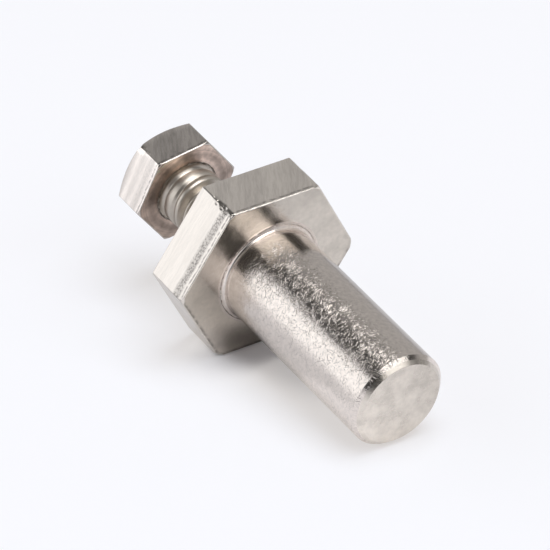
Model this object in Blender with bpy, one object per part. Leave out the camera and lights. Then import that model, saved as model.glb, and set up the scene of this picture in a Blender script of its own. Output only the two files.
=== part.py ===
"""Hinge pin screw: a round pin turned from a hexagon bar, whose collar is left at full size and
tapped from behind, and the hexagon head screw that clamps it to a hinge leaf.

The screw stands half out of its hole, and the whole lies on the collar's edge and the pin's rim.
Both pieces are modelled along +X, with the collar's front face at x = 0 and the pin's free end at
+X. An empty then lays them down, with the origin under the middle of the whole.
"""

import math

import bmesh
import bpy
from mathutils import Matrix, Vector

# Hinge pin, in metres
PIN_DIAMETER = 0.0103
PIN_LENGTH = 0.0225
PIN_END_CHAMFER = 0.0007
PIN_ROOT_FILLET = 0.0004
COLLAR_ACROSS_FLATS = 0.0175
COLLAR_THICKNESS = 0.0052
COLLAR_CORNER_TRIM = 0.0003

# Screw, in metres
SCREW_LENGTH = 0.0159
HEAD_ACROSS_FLATS = 0.010
HEAD_HEIGHT = 0.0041
HEAD_TRIM_BELOW_FLATS = 0.00025
NECK_DIAMETER = 0.0054
NECK_LENGTH = 0.0006
NECK_SHOULDER = 0.0002
NECK_FILLET = 0.00055
SHANK_BEFORE_THREAD = 0.00015
POINT_CHAMFER = 0.0003
SCREW_STANDS_OUT = 0.0093
SCREW_TURN = math.radians(9)

# Thread that the screw and the hole share, in metres
THREAD_DIAMETER = 0.00635
THREAD_PITCH = 0.00127
THREAD_CLEARANCE = 0.00012
SCREW_RUN_OUT_TURNS = 1.4
SCREW_POINT_TURNS = 0.7

# Tapped hole, in metres
THINNEST_LEAF = 0.004
TAP_SPARE = 0.001
TAP_LEAD_TURNS = 2.0
COUNTERSINK_TURNS = 0.6
COUNTERSINK_OVER_THREAD = 0.0002
DRILL_SPARE = 0.0012
DRILL_POINT_ANGLE = math.radians(118)

# Angles and numbers of facets
CORNER_CHAMFER_ANGLE = math.radians(30)
THREAD_FLANK_ANGLE = math.radians(30)
PIN_FACETS = 90
THREAD_FACETS = 24
FILLET_FACETS = 4
TRIM_FACETS = 3
HEAD_SIDE_FACETS = 12
SHARP_ANGLE = math.radians(25)

# The shallowest corner cut that gets a face of its own, in metres
LEAST_CUT = 1e-7

# Proportions of a thread with 60 degrees between its flanks, as shares of its pitch
CREST_FLAT = 1 / 8
SCREW_DEPTH = 0.6134
HOLE_DEPTH = 0.5413

PIN_RADIUS = PIN_DIAMETER / 2
THREAD_RADIUS = THREAD_DIAMETER / 2
BEARING_FACE = -COLLAR_THICKNESS - SCREW_STANDS_OUT
SHOULDER_END = NECK_LENGTH + NECK_SHOULDER
SCREW_GROOVE_START = SHOULDER_END + SHANK_BEFORE_THREAD + THREAD_PITCH / 2


def new_face(bm, points):
    """A face through the points, with a point that comes twice taken once."""
    points = list(dict.fromkeys(points))
    if len(points) > 2:
        bm.faces.new(points)


def circle(bm, x, radius, facets):
    angles = [2 * math.pi * i / facets for i in range(facets)]
    return [bm.verts.new((x, radius * math.cos(a), radius * math.sin(a))) for a in angles]


def join(bm, fine, coarse):
    """Faces between two rings, where the fine one has a whole number of sides for each coarse side."""
    step = len(fine) // len(coarse)
    for i, point in enumerate(coarse):
        side = [fine[(i * step + k) % len(fine)] for k in range(step + 1)]
        new_face(bm, side + [coarse[(i + 1) % len(coarse)], point])


def join_all(bm, rings):
    for ring, following in zip(rings, rings[1:]):
        join(bm, ring, following)


def cone_to_point(bm, ring, x):
    tip = bm.verts.new((x, 0, 0))
    for i, point in enumerate(ring):
        new_face(bm, [point, ring[(i + 1) % len(ring)], tip])


def fan(bm, apex, chain):
    for start, end in zip(chain, chain[1:]):
        new_face(bm, [apex, start, end])


def hexagon_corners(bm, x, across_flats):
    return circle(bm, x, across_flats / math.sqrt(3), 6)


def side_steps(apothem, trim_radius):
    """Places along one flat, from its middle, at which its trimmed edge has a point."""
    half = apothem * math.tan(math.pi / 6)
    if trim_radius <= apothem:
        return [half * (2 * k / HEAD_SIDE_FACETS - 1) for k in range(HEAD_SIDE_FACETS)]
    trim_start = math.sqrt(trim_radius**2 - apothem**2)
    run = [trim_start + (half - trim_start) * k / TRIM_FACETS for k in range(TRIM_FACETS + 1)]
    return [-place for place in reversed(run)] + run[:-1]


def trimmed_hexagon(bm, x, inward, across_flats, trim_radius):
    """The edge of a hexagon bar whose corners a turned cone cuts off at its face at x.

    Gives the ring round the face and the ring along the flats, which start at a corner and share
    the points that the cone doesn't reach.
    """
    apothem = across_flats / 2
    face_ring = []
    flat_ring = []
    for side in range(6):
        turn = Matrix.Rotation(math.pi / 6 + side * math.pi / 3, 3, "X")
        for place in side_steps(apothem, trim_radius):
            radius = math.hypot(apothem, place)
            cut = max(0.0, radius - trim_radius) * math.tan(CORNER_CHAMFER_ANGLE)
            on_flat = turn @ Vector((x + inward * cut, apothem, place))
            flat_ring.append(bm.verts.new(on_flat))
            if cut < LEAST_CUT:
                face_ring.append(flat_ring[-1])
            else:
                share = trim_radius / radius
                face_ring.append(bm.verts.new((x, on_flat.y * share, on_flat.z * share)))
    join(bm, face_ring, flat_ring)
    return face_ring, flat_ring


def fill_between(bm, outer, inner):
    """A flat face with a round hole."""
    edges = []
    for ring in (outer, inner):
        for i, point in enumerate(ring):
            ends = (point, ring[(i + 1) % len(ring)])
            edges.append(bm.edges.get(ends) or bm.edges.new(ends))
    bmesh.ops.triangle_fill(bm, edges=edges, use_beauty=True)


def fillet_rings(bm, radius, size, facets):
    """Rings of a hollow fillet from the face at x = 0 to a round of this radius on its +X side."""
    rings = []
    for k in range(FILLET_FACETS + 1):
        angle = math.pi / 2 * k / FILLET_FACETS
        out = size * (1 - math.sin(angle))
        along = size * (1 - math.cos(angle))
        rings.append(circle(bm, along, radius + out, facets))
    return rings


def thread(bm, start, turns, radius, depth, fade_in, fade_out):
    """A helical V groove round a bar of this radius, with a plain ring at each end.

    The groove deepens from nothing over its first turns, and over its last ones the crest sinks
    to the root. Gives the ring before the groove, at the bar's radius, and the one after it, at
    the root's.
    """
    steps = THREAD_FACETS
    root_half = (THREAD_PITCH * (1 - CREST_FLAT) / 2) - depth * math.tan(THREAD_FLANK_ANGLE)
    rows = []
    for i in range(turns * steps + 1):
        turn = i / steps
        here = depth * min(1.0, turn / fade_in, max(0.0, (turns - 1 - turn) / fade_out))
        crest = radius if turn < turns / 2 else radius - depth + here
        edge_half = root_half + here * math.tan(THREAD_FLANK_ANGLE)
        middle = start + THREAD_PITCH * turn
        spin = Matrix.Rotation(2 * math.pi * turn, 3, "X")
        edges = [(-edge_half, crest), (edge_half, crest)]
        floor = [(-root_half, crest - here), (root_half, crest - here)]
        profile = edges if here == 0 else [edges[0], *floor, edges[1]]
        points = [bm.verts.new(spin @ Vector((middle + along, out, 0))) for along, out in profile]
        rows.append([points[0], points[0], points[1], points[1]] if here == 0 else points)
    last = len(rows) - 1
    for i in range(last):
        for k in range(3):
            new_face(bm, [rows[i][k], rows[i + 1][k], rows[i + 1][k + 1], rows[i][k + 1]])
    for i in range(last - steps):
        new_face(bm, [rows[i][3], rows[i + 1][3], rows[i + 1 + steps][0], rows[i + steps][0]])
    before = circle(bm, start - THREAD_PITCH / 2, radius, steps)
    after = circle(bm, start + THREAD_PITCH * (turns + 1 / 2), radius - depth, steps)
    for i in range(steps - 1):
        new_face(bm, [before[i], before[i + 1], rows[i + 1][0], rows[i][0]])
        k = last - steps + 1 + i
        new_face(bm, [rows[k][3], rows[k + 1][3], after[(i + 2) % steps], after[i + 1]])
    first_edge = list(dict.fromkeys(rows[0]))
    fan(bm, before[-1], [before[0], *first_edge, rows[steps][0], rows[steps - 1][0]])
    last_edge = list(dict.fromkeys(reversed(rows[last])))
    fan(bm, after[1], [after[0], *last_edge, rows[last - steps][3], rows[last - steps + 1][3]])
    return before, after


def close(bm, name, material):
    """The finished object, with its faces out and its round surfaces smooth."""
    bmesh.ops.recalc_face_normals(bm, faces=bm.faces)
    mesh = bpy.data.meshes.new(name)
    bm.to_mesh(mesh)
    bm.free()
    mesh.shade_smooth()
    mesh.set_sharp_from_angle(angle=SHARP_ANGLE)
    mesh.materials.append(material)
    piece = bpy.data.objects.new(name, mesh)
    bpy.context.collection.objects.link(piece)
    return piece


def metal(name, colour, roughness):
    material = bpy.data.materials.new(name)
    material.use_nodes = True
    shader = material.node_tree.nodes["Principled BSDF"]
    shader.inputs["Base Color"].default_value = (*colour, 1)
    shader.inputs["Metallic"].default_value = 1
    shader.inputs["Roughness"].default_value = roughness
    return material


def make_screw():
    """The hexagon head screw, with its bearing face at x = 0 and its thread along +X."""
    bm = bmesh.new()
    corners = hexagon_corners(bm, 0, HEAD_ACROSS_FLATS)
    top_ring, flat_ring = trimmed_hexagon(
        bm, -HEAD_HEIGHT, 1, HEAD_ACROSS_FLATS, HEAD_ACROSS_FLATS / 2 - HEAD_TRIM_BELOW_FLATS
    )
    new_face(bm, top_ring)
    join(bm, flat_ring, corners)

    neck = fillet_rings(bm, NECK_DIAMETER / 2, NECK_FILLET, THREAD_FACETS)
    join(bm, neck[0], corners)
    neck_end = circle(bm, NECK_LENGTH, NECK_DIAMETER / 2, THREAD_FACETS)
    shoulder = circle(bm, SHOULDER_END, THREAD_RADIUS, THREAD_FACETS)

    depth = SCREW_DEPTH * THREAD_PITCH
    room = SCREW_LENGTH - POINT_CHAMFER - SCREW_GROOVE_START
    turns = math.ceil(room / THREAD_PITCH - 0.5) - 1
    before, after = thread(
        bm, SCREW_GROOVE_START, turns, THREAD_RADIUS, depth, SCREW_RUN_OUT_TURNS, SCREW_POINT_TURNS
    )
    root = THREAD_RADIUS - depth
    point = circle(bm, SCREW_LENGTH - POINT_CHAMFER, root, THREAD_FACETS)
    end = circle(bm, SCREW_LENGTH, root - POINT_CHAMFER, THREAD_FACETS)
    join_all(bm, [*neck, neck_end, shoulder, before])
    join_all(bm, [after, point, end])
    new_face(bm, end)
    return close(bm, "hex_screw", metal("screw_steel", (0.56, 0.53, 0.49), 0.34))


def make_hinge_pin():
    """The pin and its collar, with the tapped hole that takes the screw from behind."""
    bm = bmesh.new()
    tip = circle(bm, PIN_LENGTH, PIN_RADIUS - PIN_END_CHAMFER, PIN_FACETS)
    rim = circle(bm, PIN_LENGTH - PIN_END_CHAMFER, PIN_RADIUS, PIN_FACETS)
    root = fillet_rings(bm, PIN_RADIUS, PIN_ROOT_FILLET, PIN_FACETS)
    new_face(bm, tip)
    join_all(bm, [*root, rim, tip])

    trim_radius = COLLAR_ACROSS_FLATS / math.sqrt(3) - COLLAR_CORNER_TRIM
    front, flats = trimmed_hexagon(bm, 0, -1, COLLAR_ACROSS_FLATS, trim_radius)
    fill_between(bm, front, root[0])
    back = hexagon_corners(bm, -COLLAR_THICKNESS, COLLAR_ACROSS_FLATS)
    join(bm, flats, back)

    radius = THREAD_RADIUS + THREAD_CLEARANCE
    depth = HOLE_DEPTH * THREAD_PITCH
    mouth = circle(bm, -COLLAR_THICKNESS, radius + COUNTERSINK_OVER_THREAD, THREAD_FACETS)
    join(bm, mouth, back)
    first = -COLLAR_THICKNESS + COUNTERSINK_OVER_THREAD + THREAD_PITCH / 2
    screw_groove = BEARING_FACE + SCREW_GROOVE_START - THREAD_PITCH * SCREW_TURN / (2 * math.pi)
    start = first + (screw_groove - first) % THREAD_PITCH
    tapped = SCREW_LENGTH - THINNEST_LEAF + TAP_SPARE
    turns = round(tapped / THREAD_PITCH)
    before, after = thread(bm, start, turns, radius, depth, COUNTERSINK_TURNS, TAP_LEAD_TURNS)
    drilled = start + THREAD_PITCH * turns + DRILL_SPARE
    bottom = circle(bm, drilled, radius - depth, THREAD_FACETS)
    join(bm, mouth, before)
    join(bm, after, bottom)
    cone_to_point(bm, bottom, drilled + (radius - depth) / math.tan(DRILL_POINT_ANGLE / 2))
    return close(bm, "hinge_pin", metal("pin_steel", (0.62, 0.60, 0.57), 0.30))


def lay_down(pieces):
    """Lays the pieces on the collar's front edge and the pin's rim, centred over the origin."""
    drop = COLLAR_ACROSS_FLATS / 2 - PIN_RADIUS
    tilt = math.atan2(drop, PIN_LENGTH - PIN_END_CHAMFER)
    carrier = bpy.data.objects.new("pin_axis", None)
    bpy.context.collection.objects.link(carrier)
    carrier.rotation_euler.y = tilt
    for piece in pieces:
        piece.parent = carrier
    bpy.context.view_layer.update()
    points = [piece.matrix_world @ v.co for piece in pieces for v in piece.data.vertices]
    low = Vector(min(p[axis] for p in points) for axis in range(3))
    high = Vector(max(p[axis] for p in points) for axis in range(3))
    carrier.location = (-(low.x + high.x) / 2, -(low.y + high.y) / 2, -low.z)


def main():
    for old in list(bpy.data.objects):
        bpy.data.objects.remove(old, do_unlink=True)
    hinge_pin = make_hinge_pin()
    screw = make_screw()
    screw.location.x = BEARING_FACE
    screw.rotation_euler.x = SCREW_TURN
    lay_down([hinge_pin, screw])


main()
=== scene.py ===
import math

import bmesh
import bpy
from bpy.props import FloatProperty, FloatVectorProperty, PointerProperty
from mathutils import Matrix, Vector, noise


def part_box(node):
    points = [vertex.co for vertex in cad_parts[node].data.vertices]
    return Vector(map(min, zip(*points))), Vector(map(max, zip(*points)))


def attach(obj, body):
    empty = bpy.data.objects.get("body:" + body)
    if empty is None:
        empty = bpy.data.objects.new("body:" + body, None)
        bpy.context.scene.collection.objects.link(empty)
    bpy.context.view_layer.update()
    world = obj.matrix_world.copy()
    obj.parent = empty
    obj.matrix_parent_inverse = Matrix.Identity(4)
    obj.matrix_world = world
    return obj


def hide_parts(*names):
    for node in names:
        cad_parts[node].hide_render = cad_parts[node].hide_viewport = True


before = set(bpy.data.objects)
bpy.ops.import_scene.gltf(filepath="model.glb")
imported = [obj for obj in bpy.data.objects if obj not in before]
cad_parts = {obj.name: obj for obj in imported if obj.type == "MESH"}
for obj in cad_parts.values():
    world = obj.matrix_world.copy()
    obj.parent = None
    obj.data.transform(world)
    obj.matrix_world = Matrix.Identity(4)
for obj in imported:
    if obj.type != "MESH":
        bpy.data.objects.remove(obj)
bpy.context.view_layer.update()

bl_info = {
    "name": "Hinge pin screw",
    "version": (1, 0, 0),
    "blender": (4, 5, 0),
    "location": "View3D > Sidebar > Hinge Pin",
    "description": "Builds a turned hinge pin with a hexagon collar, its clamping screw and a studio",
    "category": "Add Mesh",
}

MM = 0.001

# Shares of the pitch on a thread with 60 degrees between its flanks
CREST_FLAT = 1 / 8
SCREW_DEPTH = 0.6134
HOLE_DEPTH = 0.5413

# The turned cone on a bar's corners, and half the angle of the drill's point
CORNER_CHAMFER = math.radians(30)
DRILL_POINT = math.radians(59)

# Small measures in metres: worn corners and edges, the fine step round the pin's root,
# the hole's countersink and the drilled length past its thread, and room beside an edge
COLLAR_CORNER = 0.0002
HEAD_CORNER = 0.0001
END_EDGE = 0.00004
SIDE_EDGE = 0.00005
STEP_EDGE = 0.00003
STEP_HEIGHT = 0.00001
STEP_INSIDE = 0.00002
STEP_OUTSIDE = 0.0001
MOUTH_CHAMFER = 0.0002
DRILLED_PAST = 0.0012
FACE_MARGIN = 0.0003
NECK_MARGIN = 0.0002
FILLET_MARGIN = 0.00006

# Mesh density
FLAT_STEPS = 56
HEAD_FLAT_STEPS = 34
CORNER_STEPS = 5
WEAR_STEPS = 3
ROUND_STEPS = 120
GROOVE_STEPS = 14
COLLAR_ROWS = 26
COLLAR_FIRST_ROW = 0.0005
HEAD_ROWS = 16
HEAD_FIRST_ROW = 0.0009
END_SPACING = 0.00025
SIDE_SPACING = 0.0002

# How far apart the flats of a bar lie on their map, in millimetres
FLAT_APART = 40

# Kinds of surface, in the order of each piece's materials
ROUND, FLATS, FACE, END, HIDDEN = range(5)
HEAD_FLATS, BEARING, THREAD, HEAD_TOP = range(4)


def length(name, description, metres):
    return FloatProperty(
        name=name, description=description, default=metres, subtype="DISTANCE", unit="LENGTH", precision=6
    )


def colour(name, description, value):
    return FloatVectorProperty(
        name=name, description=description, default=value, subtype="COLOR", size=3, min=0, max=1
    )


def share(name, description, value):
    return FloatProperty(name=name, description=description, default=value, min=0, max=1, subtype="FACTOR")


def brightness(name, description, value):
    return FloatProperty(name=name, description=description, default=value, min=0)


class HingePinSettings(bpy.types.PropertyGroup):
    """Sizes and finish of the turned pin and its collar"""

    pin_diameter: length("Pin diameter", "Diameter of the round pin", 0.0103)
    pin_length: length("Pin length", "From the collar's front face to the pin's end", 0.0225)
    end_chamfer: length("End chamfer", "Chamfer at the pin's free end", 0.0007)
    root_fillet: length("Root fillet", "Fillet between the pin and the collar", 0.0004)
    across_flats: length("Collar across flats", "Size of the hexagon bar", 0.0175)
    thickness: length("Collar thickness", "Thickness of the hexagon collar", 0.0052)
    corner_trim: length("Corner trim", "How far the turned chamfer cuts into each corner", 0.0003)
    edge_radius: length("Edge wear", "Radius of the worn edges", 0.00011)
    tint: colour("Pin colour", "Colour of the bright metal", (0.76, 0.695, 0.645))
    flat_tint: colour("Flats colour", "Colour of the collar's flats", (0.82, 0.762, 0.705))
    face_tint: colour("Face colour", "Colour of the dull turned faces", (0.76, 0.70, 0.63))
    roughness: share("Pin roughness", "Roughness between the scuffs", 0.15)
    scuffs: share("Scuffs", "How strongly the pin is scuffed", 1.0)


class ScrewSettings(bpy.types.PropertyGroup):
    """Sizes and finish of the hexagon head screw"""

    across_flats: length("Head across flats", "Size of the hexagon head", 0.010)
    head_height: length("Head height", "Height of the hexagon head", 0.0041)
    head_trim: length("Head trim", "How far the top chamfer reaches inside the flats", 0.00025)
    screw_length: length("Screw length", "From the bearing face to the point", 0.0159)
    stands_out: length("Stands out", "Gap between the collar and the head", 0.0093)
    neck_diameter: length("Neck diameter", "Diameter of the plain neck", 0.0054)
    neck_length: length("Neck length", "Length of the plain neck", 0.0006)
    bearing_trim: length("Bearing corner trim", "How far the bearing face's corners are cut back", 0.0003)
    neck_shoulder: length("Neck shoulder", "Cone from the neck to the thread", 0.0002)
    neck_fillet: length("Neck fillet", "Fillet between the neck and the head", 0.00055)
    plain_shank: length("Plain shank", "Full diameter before the first groove", 0.00015)
    point_chamfer: length("Point chamfer", "Chamfer at the screw's point", 0.0003)
    thread_diameter: length("Thread diameter", "Outside diameter of the thread", 0.00635)
    pitch: length("Thread pitch", "Distance between two turns of the thread", 0.00127)
    clearance: length("Thread clearance", "Room between the screw and its hole", 0.00012)
    tapped: length("Tapped depth", "Depth of the thread in the collar and the pin", 0.0129)
    edge_radius: length("Edge wear", "Radius of the worn edges", 0.0001)
    turn: FloatProperty(
        name="Turn",
        description="How far the head is turned against the collar",
        default=math.radians(9),
        subtype="ANGLE",
    )
    tint: colour("Screw colour", "Colour of the screw's metal", (0.67, 0.62, 0.58))
    # The thread is a darker, slightly yellower copy of the screw's metal, darkened as painted shade between
    # the head and the collar
    thread_shaded_tint: colour("Thread colour", "Colour of the thread", (0.57, 0.52, 0.46))
    # The face under the head is a darker copy of the screw's metal, painted shade between the head and the
    # collar
    bearing_shaded_tint: colour("Bearing face colour", "Colour of the face under the head", (0.445, 0.36, 0.315))
    roughness: share("Screw roughness", "Roughness of the screw", 0.33)


class StudioSettings(bpy.types.PropertyGroup):
    """Floor, light and camera"""

    floor_tint: colour("Floor colour", "Colour of the pale floor", (0.945, 0.95, 0.99))
    glow: share("Floor glow", "How far the floor shows as a lit white ground", 0.58)
    # The glow's warm colour, against the bluer paper, paints the floor's shadows warm, as painted bounce
    # light
    glow_tint: colour("Floor glow colour", "Colour of the glow, against the floor's own", (1.0, 0.93, 0.83))
    left: brightness("Left soft box", "Radiance of the soft box on the left", 0.87)
    right: brightness("Right soft box", "Radiance of the soft box on the right", 1.75)
    top: brightness("Top soft box", "Radiance of the soft box above", 3.62)
    lens: FloatProperty(
        name="Focal length", description="Focal length in millimetres", default=327.2727, min=20
    )


def pin_settings():
    return bpy.context.scene.hinge_pin


def screw_settings():
    return bpy.context.scene.hinge_screw


def studio_settings():
    return bpy.context.scene.hinge_studio


# Where the pieces lie


def pin_axis():
    """Takes a point on the pin's own axes, with the collar's front face at x = 0, to where it lies."""
    pin = pin_settings()
    drop = (pin.across_flats - pin.pin_diameter) / 2
    tilt = math.atan2(drop, pin.pin_length - pin.end_chamfer)
    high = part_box("hinge_pin")[1].x
    reach = pin.pin_length * math.cos(tilt) + (pin.pin_diameter / 2 - pin.end_chamfer) * math.sin(tilt)
    place = Vector((high - reach, 0, pin.across_flats / 2 * math.cos(tilt)))
    return Matrix.Translation(place) @ Matrix.Rotation(tilt, 4, "Y")


def screw_axis():
    """The same for a point on the screw's own axes, with its bearing face at x = 0."""
    screw = screw_settings()
    back = -pin_settings().thickness - screw.stands_out
    return pin_axis() @ Matrix.Translation((back, 0, 0)) @ Matrix.Rotation(screw.turn, 4, "X")


# Mesh helpers


def hexagon_outline(across_flats, corner_radius, flat_steps, corner_steps):
    """Points round a hexagon bar with worn corners, as (radius, angle), closer near the corners."""
    apothem = across_flats / 2
    half = (apothem - corner_radius) * math.tan(math.pi / 6)
    points = []
    for side in range(6):
        turn = Matrix.Rotation(-math.pi / 6 - side * math.pi / 3, 2)
        for k in range(flat_steps):
            u = 2 * k / (flat_steps - 1) - 1
            points.append(Vector((apothem, half * u * (1.3 - 0.3 * u * u))) @ turn)
        centre = Vector((apothem - corner_radius, half))
        for k in range(1, corner_steps):
            angle = math.pi / 3 * k / corner_steps
            points.append((centre + corner_radius * Vector((math.cos(angle), math.sin(angle)))) @ turn)
    return [(p.length, math.atan2(p.y, p.x)) for p in points]


def rounded_profile(corners, steps=4):
    """A profile of (x, radius) through corners of (x, radius, rounding), with points close to each edge."""
    points = [Vector(corners[0][:2])]
    for before, corner, after in zip(corners, corners[1:], corners[2:]):
        here = Vector(corner[:2])
        back = (Vector(before[:2]) - here).normalized()
        ahead = (Vector(after[:2]) - here).normalized()
        rounding = corner[2]
        half = (math.pi - back.angle(ahead)) / 2
        reach = rounding * math.tan(half)
        centre = here + (back + ahead).normalized() * rounding / math.cos(half)
        first = here + back * reach - centre
        last = here + ahead * reach - centre
        points.append(here + back * (reach + rounding * 0.5))
        for k in range(steps + 1):
            u = k / steps
            way = first * math.sin((1 - u) * 2 * half) + last * math.sin(u * 2 * half)
            points.append(centre + way / math.sin(2 * half))
        points.append(here + ahead * (reach + rounding * 0.5))
    points.append(Vector(corners[-1][:2]))
    return points


def densify(points, longest):
    """Adds points so that no stretch of the profile is longer than this."""
    out = [points[0]]
    for a, b in zip(points, points[1:]):
        count = max(1, math.ceil((b - a).length / longest))
        out += [a.lerp(b, k / count) for k in range(1, count + 1)]
    return out


def ring_at(bm, places):
    """A ring from (x, radius, angle) triples."""
    return [bm.verts.new((x, r * math.cos(a), r * math.sin(a))) for x, r, a in places]


def circle(bm, x, radius, angles):
    return ring_at(bm, [(x, radius, a) for a in angles])


def even_angles(count):
    return [2 * math.pi * i / count for i in range(count)]


def new_face(bm, points, kind):
    points = list(dict.fromkeys(points))
    if len(points) > 2:
        bm.faces.new(points).material_index = kind


def skin(bm, rings, kind):
    """Quads between rings that have the same number of points."""
    for ring, following in zip(rings, rings[1:]):
        for i in range(len(ring)):
            j = (i + 1) % len(ring)
            new_face(bm, [ring[i], ring[j], following[j], following[i]], kind)


def cap(bm, ring, x, kind):
    tip = bm.verts.new((x, 0, 0))
    for i, point in enumerate(ring):
        new_face(bm, [point, ring[(i + 1) % len(ring)], tip], kind)


def fan(bm, apex, chain, kind):
    for first, second in zip(chain, chain[1:]):
        new_face(bm, [apex, first, second], kind)


def fill_between(bm, outer, inner, kind):
    """A flat face with a hole."""
    edges = []
    for ring in (outer, inner):
        for i, point in enumerate(ring):
            ends = (point, ring[(i + 1) % len(ring)])
            edges.append(bm.edges.get(ends) or bm.edges.new(ends))
    filled = bmesh.ops.triangle_fill(bm, edges=edges, use_beauty=True)
    for item in filled["geom"]:
        if isinstance(item, bmesh.types.BMFace):
            item.material_index = kind


def trimmed_edge(radius, trim, wear):
    """Worn edge of a hexagon bar at its end face, as (depth from the face, radius) pairs.

    Where the radius is over the trim, a turned cone cuts the corner off.
    """
    slope = CORNER_CHAMFER
    side = radius - wear
    if radius - trim <= wear * (math.cos(slope) + math.sin(slope) - 1) / math.sin(slope):
        first = second = (wear, side)
    else:
        first = (wear, trim - wear * (1 - math.cos(slope)) / math.sin(slope))
        second = ((wear + (side - trim) * math.sin(slope)) / math.cos(slope), side)
    points = []
    for start, end, centre in ((0, slope, first), (slope, math.pi / 2, second)):
        for k in range(WEAR_STEPS + 1):
            angle = start + (end - start) * k / WEAR_STEPS
            points.append((centre[0] - wear * math.cos(angle), centre[1] + wear * math.sin(angle)))
    return points


def hexagon_end(bm, x, inward, outline, trim, wear):
    """Rings from the end face, over the worn and trimmed edge, to the flats."""
    profiles = [trimmed_edge(r, trim, wear) for r, _ in outline]
    return [
        ring_at(bm, [(x + inward * p[k][0], p[k][1], a) for p, (_, a) in zip(profiles, outline)])
        for k in range(len(profiles[0]))
    ]


def flat_rows(bm, outline, x, inward, height, first, count):
    """Rings along the flats of a bar, between its two ends."""
    rows = []
    for k in range(1, count):
        depth = first + (height - first - FACE_MARGIN) * k / count
        rows.append(ring_at(bm, [(x + inward * depth, r, a) for r, a in outline]))
    return rows


def rings_across(bm, x, angles, starts, ends, parts):
    """Rings on an end face, each at this part of the way from one row of radii to another."""
    rows = list(zip(starts, ends, angles))
    return [ring_at(bm, [(x, r0 + (r1 - r0) * part, a) for r0, r1, a in rows]) for part in parts]


def groove_profile(depth, room):
    """Places across a rounded V groove, as (along, depth), from one crest edge to the other."""
    bottom = 0.18
    top = 0.86
    foot = 0.3 * bottom
    points = []
    for k in range(GROOVE_STEPS + 1):
        u = 2 * k / GROOVE_STEPS - 1
        v = abs(u)
        if v < bottom:
            fall = foot * (v / bottom) ** 2
        else:
            fall = foot + (v - bottom) * (1 - foot) / (1 - bottom)
        if v > top:
            fall = min(1.0, fall + 0.4 * (v - top) * (1 - v) / (1 - top))
        points.append((u * room / 2, depth * (1 - fall)))
    return points


def thread(bm, start, turns, pitch, radius, depth, fade_in, fade_out, kind):
    """A helical groove round a bar of this radius, with a plain ring at each end."""
    steps = ROUND_STEPS
    room = pitch * (1 - CREST_FLAT)
    rows = []
    for i in range(turns * steps + 1):
        turn = i / steps
        amount = min(1.0, turn / fade_in, max(0.0, (turns - 1 - turn) / fade_out))
        here = depth * amount
        crest = radius if turn < turns / 2 else radius - depth + here
        middle = start + pitch * turn
        angle = 2 * math.pi * turn
        profile = groove_profile(here, room * (0.35 + 0.65 * amount))
        if amount == 0:
            ends = ring_at(bm, [(middle + profile[k][0], crest, angle) for k in (0, -1)])
            half = len(profile) // 2
            rows.append([ends[0]] * half + [ends[1]] * (len(profile) - half))
        else:
            rows.append(ring_at(bm, [(middle + along, crest - deep, angle) for along, deep in profile]))
    last = len(rows) - 1
    for i in range(last):
        for k in range(GROOVE_STEPS):
            new_face(bm, [rows[i][k], rows[i + 1][k], rows[i + 1][k + 1], rows[i][k + 1]], kind)
    for i in range(last - steps):
        new_face(bm, [rows[i][-1], rows[i + 1][-1], rows[i + 1 + steps][0], rows[i + steps][0]], kind)
    angles = even_angles(steps)
    before = circle(bm, start - pitch / 2, radius, angles)
    after = circle(bm, start + pitch * (turns + 1 / 2), radius - depth, angles)
    for i in range(steps - 1):
        new_face(bm, [before[i], before[i + 1], rows[i + 1][0], rows[i][0]], kind)
        k = last - steps + 1 + i
        new_face(bm, [rows[k][-1], rows[k + 1][-1], after[(i + 2) % steps], after[i + 1]], kind)
    first_edge = list(dict.fromkeys(rows[0]))
    fan(bm, before[-1], [before[0], *first_edge, rows[steps][0], rows[steps - 1][0]], kind)
    last_edge = list(dict.fromkeys(reversed(rows[last])))
    fan(bm, after[1], [after[0], *last_edge, rows[last - steps][-1], rows[last - steps + 1][-1]], kind)
    return before, after


def hexagon_edges(across_flats, x0, x1):
    """The edges of a hexagon bar, as (start, end) pairs, first those along it."""
    corners = [Vector((0, math.cos(a), math.sin(a))) * across_flats / math.sqrt(3) for a in even_angles(6)]
    ends = [[c + Vector((x, 0, 0)) for c in corners] for x in (x0, x1)]
    edges = list(zip(ends[0], ends[1]))
    for ring in ends:
        edges += [(ring[i], ring[(i + 1) % 6]) for i in range(6)]
    return edges


def edge_gap(point, edges):
    """Distance to the nearest of these edges."""
    best = 1.0
    for a, b in edges:
        along = b - a
        u = max(0.0, min(1.0, (point - a).dot(along) / along.length_squared))
        best = min(best, (point - a - along * u).length)
    return best


# Small knocks all along the edges: how far from an edge they reach, their depth, and how far apart
# the large and the small ones are, as noise scales in each metre
KNOCKED_WIDTH = 0.3 * MM
KNOCK_DEPTH = 0.05 * MM
KNOCK_SCALES = (620, 1500)

# No dent reaches further from an edge than this
DENT_REACH = 1.4 * MM


def wear_edges(bm, edges, dents):
    """Knocks the edges a little.

    dents holds deeper knocks, as (place, radius, depth).
    """
    for vert in bm.verts:
        gap = edge_gap(vert.co, edges)
        if gap > DENT_REACH:
            continue
        large, small = [noise.noise(vert.co * scale) for scale in KNOCK_SCALES]
        knock = max(0.0, large + 0.5 * small - 0.2)
        deep = KNOCK_DEPTH * knock * max(0.0, 1 - gap / KNOCKED_WIDTH)
        for place, radius, depth in dents:
            deep += depth * max(0.0, 1 - ((vert.co - place).length / radius) ** 2)
        vert.co -= deep * Vector((0, vert.co.y, vert.co.z)).normalized()


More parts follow.
